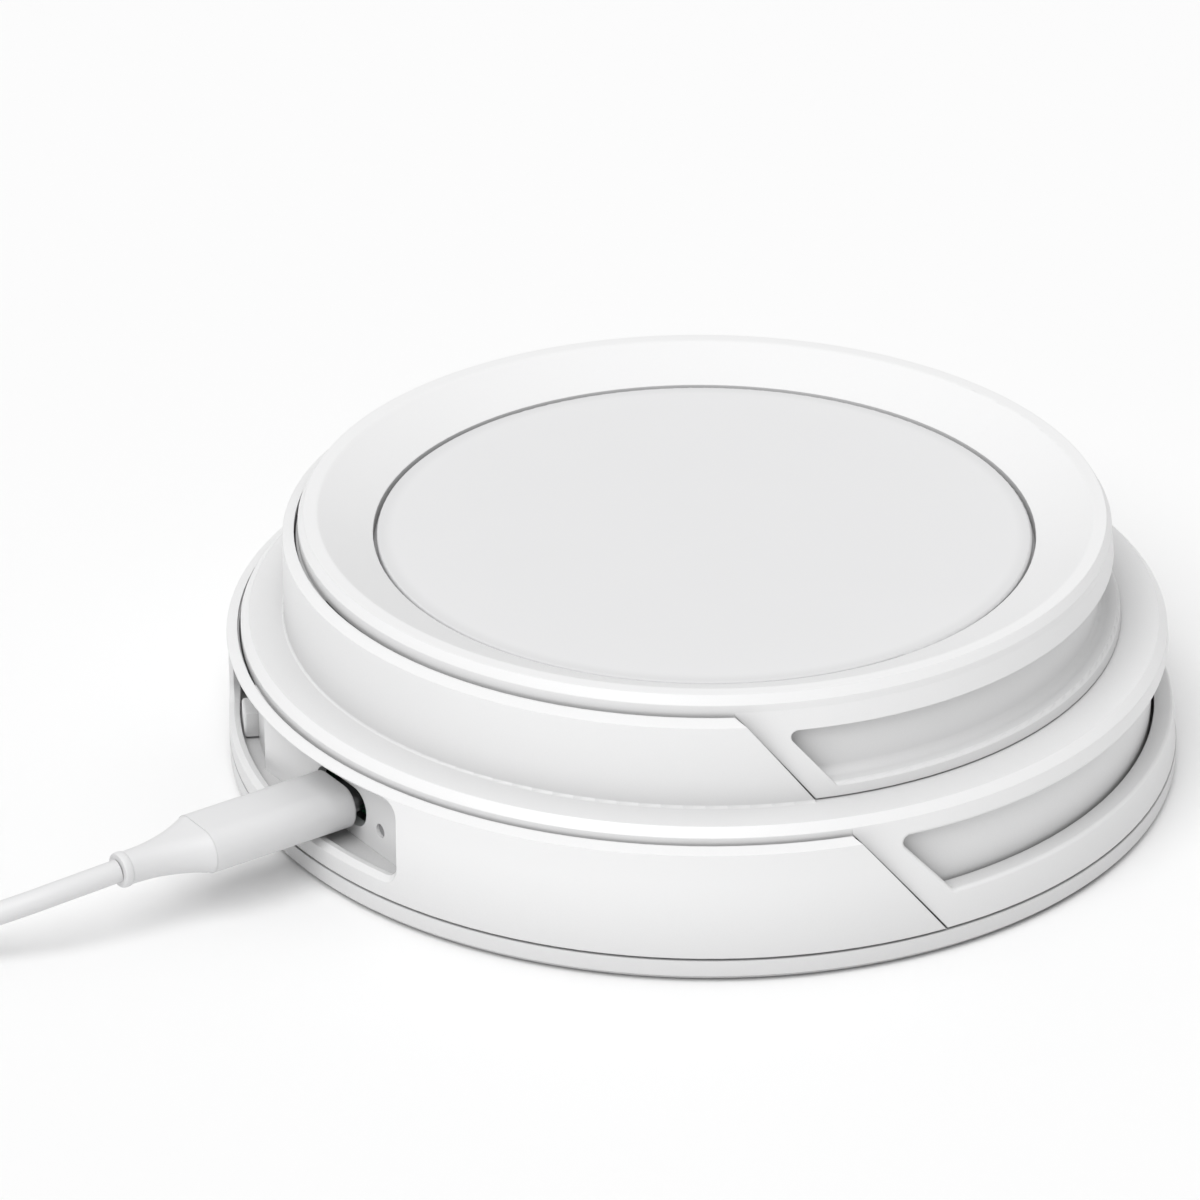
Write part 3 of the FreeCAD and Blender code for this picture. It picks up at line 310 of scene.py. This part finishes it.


# the shell, panel and cord finishes carry painted shade in their crevices
finishes = {
    "shell_white": moulded("shell_white", (0.88, 0.88, 0.882), 0.012, (0.33, 0.42), crevice_shade=0.45),
    "panel_white": moulded("panel_white", (0.9, 0.9, 0.902), 0.012, (0.4, 0.5), crevice_shade=0.1),
    "foot_rubber": moulded("foot_rubber", (0.30, 0.30, 0.31), 0.15, (0.7, 0.9), grain_size=0.5,
                           grain_depth=0.02, sheen=0.1),
    "light_guide": frosted_guide(),
    "black_plastic": moulded("black_plastic", (0.03, 0.03, 0.032), 0.2, (0.35, 0.5), grain_size=0.3,
                             grain_depth=0.006),
    "steel": plated("steel", (0.52, 0.52, 0.53), (0.25, 0.45), (4000, 300, 4000)),
    "bright_metal": plated("bright_metal", (0.74, 0.74, 0.75), (0.14, 0.28), (500, 6000, 6000)),
    "circuit_board": solder_mask(),
    "capacitor_metal": plated("capacitor_metal", (0.72, 0.72, 0.74), (0.2, 0.35), (5000, 5000, 400)),
    "ferrite": moulded("ferrite", (0.09, 0.09, 0.10), 0.25, (0.5, 0.75), grain_size=0.12, grain_depth=0.01),
    "copper": winding(),
    "magnet": plated("magnet", (0.68, 0.68, 0.69), (0.12, 0.25), (900, 900, 5000)),
    "cord_white": moulded("cord_white", (0.77, 0.77, 0.775), 0.02, (0.42, 0.52), grain_size=0.22,
                          grain_depth=0.005, edge=0.15, sheen=0.05, crevice_shade=0.15),
    "tie_white": moulded("tie_white", (0.74, 0.74, 0.745), 0.05, (0.6, 0.8), grain_size=0.3,
                         grain_depth=0.02, edge=0.1, sheen=0.2),
}


def dress(piece, finish):
    piece.data.materials.clear()
    piece.data.materials.append(finish)


def dress_frame():
    """Every CAD node gets the finish of its slot, but each inlay pad and the port panel have their own."""
    for entry in frame["record"]["subparts"]:
        node, slot = entry["node"], entry["material_slot"]
        if slot == "inlay":
            finish = soft_touch(node + "_inlay", node)
        elif node == "port_panel":
            finish = finishes["panel_white"]
        else:
            finish = finishes[slot]
        dress(frame["nodes"][node], finish)


# ---------------------------------------------------------------- lead

CORD_DIAMETER = 3.3
# from the strain relief's mouth to the coil, in mm
CORD_ROUTE = [(-100.5, 0, 10.8), (-107.6, 0.6, 10.2), (-115.0, 2.6, 8.6), (-122.3, 6.4, 6.2),
              (-129.4, 10.6, 3.8), (-135.9, 13.3, 2.2)]
COIL_CENTRE = Vector((-136.84, 37.5, 0))
# where the cord joins the coil and leaves it, in degrees about the coil's axis
COIL_JOIN = 256.7
COIL_LEAVE = 135.0
# the coil's mean radius, and how the cord leaves it for the far plug
COIL_MEAN = 20.0
FREE_TAIL = 10.0
APPROACH = 8.0
# points in a turn, and the share of it after which the cord shifts to its next place
TURN_POINTS = 16
SHIFT_START = 0.75
# each turn's place in the bundle: rows out from the mean radius, and rows up
BUNDLE = [(1, 0), (0, 0), (-1, 0), (-1, 1), (0, 1), (0, 2), (1, 2), (1, 1)]
# sections of the plugs
CORNER_POINTS = 12
CORNER_SHARE = 0.96
EDGE_RADIUS = 0.55
SHARP_ANGLE = math.radians(40)
NECK_STEPS = 14
NECK_POWER = 2.2
NECK_FIT = (0.985, 0.975)
COLLAR_LENGTH = 1.3
COLLAR_RADIUS = 2.55
COLLAR_STEPS = 6
COLLAR_SLIM = 0.93


def heading(degrees):
    return Vector((math.cos(math.radians(degrees)), math.sin(math.radians(degrees)), 0))


def coil_points():
    """The coil's turns, clockwise seen from above, each shifting to its next place over a quarter turn."""
    swell = 1 / math.cos(math.pi / TURN_POINTS)
    swept = (len(BUNDLE) - 1) * 360 + COIL_JOIN - COIL_LEAVE
    steps = round(swept / 360 * TURN_POINTS)
    points = []
    for step in range(steps + 1):
        done = swept * step / steps
        turn, part = divmod(done / 360, 1.0)
        shift = max(0.0, (part - SHIFT_START) / (1 - SHIFT_START))
        here = BUNDLE[int(turn)]
        following = BUNDLE[min(int(turn) + 1, len(BUNDLE) - 1)]
        out = here[0] + (following[0] - here[0]) * shift
        up = here[1] + (following[1] - here[1]) * shift
        spot = COIL_CENTRE + heading(COIL_JOIN - done) * (COIL_MEAN + out * CORD_DIAMETER) * swell
        spot.z = CORD_DIAMETER * (0.5 + up)
        points.append(spot)
    return points


def far_mouth():
    """Where the cord enters the far plug's strain relief, a free tail past the edge of the coil."""
    low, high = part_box("far_strain_relief")
    coil_low, coil_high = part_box("cord_coil")
    coil_radius = (coil_high.x - coil_low.x) / 2 / MM
    leaving = COIL_MEAN + CORD_DIAMETER
    ahead = FREE_TAIL + math.sqrt(coil_radius ** 2 - leaving ** 2)
    spot = COIL_CENTRE + heading(COIL_LEAVE) * leaving + heading(COIL_LEAVE - 90) * ahead
    spot.z = (low.z + high.z) / 2 / MM
    return spot


def make_cord():
    mouth = far_mouth()
    approach = mouth - heading(COIL_LEAVE - 90) * APPROACH
    route = [Vector(point) for point in CORD_ROUTE] + coil_points() + [approach, mouth]
    curve = bpy.data.curves.new("usb_cord", "CURVE")
    curve.dimensions = "3D"
    curve.bevel_depth = CORD_DIAMETER / 2 * MM
    curve.bevel_resolution = 5
    curve.resolution_u = 6
    curve.use_fill_caps = True
    spline = curve.splines.new("NURBS")
    spline.points.add(len(route) - 1)
    for point, spot in zip(spline.points, route):
        point.co = (*(spot * MM), 1.0)
    spline.order_u = 3
    spline.use_endpoint_u = True
    cord = bpy.data.objects.new("usb_cord", curve)
    bpy.context.scene.collection.objects.link(cord)
    curve.materials.append(finishes["cord_white"])
    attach(cord, "plug")
    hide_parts("cord_run", "cord_coil", "cord_tail")
    return cord


def section(width, thick):
    """Points round a rounded oblong whose ends are nearly half circles; equal sides give a circle."""
    corner = min(width, thick) / 2 * CORNER_SHARE
    points = []
    for quarter in range(4):
        side = (1, -1, -1, 1)[quarter] * (width / 2 - corner)
        up = (1, 1, -1, -1)[quarter] * (thick / 2 - corner)
        for step in range(CORNER_POINTS + 1):
            angle = math.pi / 2 * (quarter + step / CORNER_POINTS)
            points.append((side + corner * math.cos(angle), up + corner * math.sin(angle)))
    return points


def lofted(name, stations, place):
    """A closed skin through sections along X; each station is its x, width and thickness."""
    vertices, faces = [], []
    for across, width, thick in stations:
        vertices += [place @ Vector((across, side, up)) for side, up in section(width, thick)]
    count = len(section(1, 1))
    for ring in range(len(stations) - 1):
        for step in range(count):
            here, along = ring * count + step, ring * count + (step + 1) % count
            faces.append((here, along, along + count, here + count))
    faces.append(tuple(reversed(range(count))))
    faces.append(tuple(range((len(stations) - 1) * count, len(stations) * count)))
    mesh = bpy.data.meshes.new(name)
    mesh.from_pydata(vertices, [], faces)
    mesh.update()
    mesh.shade_smooth()
    mesh.set_sharp_from_angle(angle=SHARP_ANGLE)
    mesh.materials.append(finishes["cord_white"])
    piece = bpy.data.objects.new(name, mesh)
    bpy.context.scene.collection.objects.link(piece)
    return piece


def rounded_start(across, width, thick, radius, steps=5):
    """Stations of a rounded edge, from a face at across and back along -X."""
    stations = []
    for step in range(steps + 1):
        angle = math.pi / 2 * step / steps
        inset = 2 * radius * (1 - math.sin(angle))
        stations.append((across - radius * (1 - math.cos(angle)), width - inset, thick - inset))
    return stations


def relief_stations(length, width, thick):
    """The strain relief: a quick taper, a long concave neck and a rolled collar where the cord leaves."""
    neck = length - COLLAR_LENGTH
    slim = 2 * COLLAR_RADIUS * COLLAR_SLIM
    stations = []
    for step in range(NECK_STEPS + 1):
        part = step / NECK_STEPS
        left = (1 - part) ** NECK_POWER
        stations.append((-neck * part, width * left + slim * (1 - left), thick * left + slim * (1 - left)))
    for step in range(COLLAR_STEPS + 1):
        angle = math.pi * step / COLLAR_STEPS
        bulge = 2 * COLLAR_RADIUS * (COLLAR_SLIM + (1 - COLLAR_SLIM) * math.sin(angle))
        stations.append((-neck - COLLAR_LENGTH * (1 - math.cos(angle)) / 2, bulge, bulge))
    return stations


def make_plug(prefix, overmold, relief, place):
    """The moulded grip and strain relief of one end; place puts the grip's front face."""
    low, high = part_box("plug_overmold")
    length = (high.x - low.x) / MM
    width = (high.y - low.y) / MM
    thick = (high.z - low.z) / MM
    relief_low, relief_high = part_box("plug_strain_relief")
    relief_length = (relief_high.x - relief_low.x) / MM
    scale = Matrix.Scale(MM, 4)
    grip_stations = rounded_start(0.0, width, thick, EDGE_RADIUS) + [(-length, width, thick)]
    grip = lofted(prefix + "_grip", grip_stations, scale @ place)
    neck_place = scale @ place @ Matrix.Translation((-length, 0, 0))
    boot_stations = relief_stations(relief_length, width * NECK_FIT[0], thick * NECK_FIT[1])
    boot = lofted(prefix + "_boot", boot_stations, neck_place)
    for piece, node in ((grip, overmold), (boot, relief)):
        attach(piece, "plug")
        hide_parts(node)
    return [grip, boot]


def make_lead():
    low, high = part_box("plug_overmold")
    near_place = Matrix.Translation((high.x / MM, 0, (low.z + high.z) / 2 / MM))
    near = make_plug("port_plug", "plug_overmold", "plug_strain_relief", near_place)
    ahead = (high.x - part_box("plug_strain_relief")[0].x) / MM
    tip = far_mouth() + heading(COIL_LEAVE - 90) * ahead
    turn = Matrix.Rotation(math.radians(COIL_LEAVE - 90), 4, "Z")
    far = make_plug("far_plug", "far_overmold", "far_strain_relief", Matrix.Translation(tip) @ turn)
    make_cord()


make_camera()
make_studio(floor_finish())
dress_frame()
make_lead()
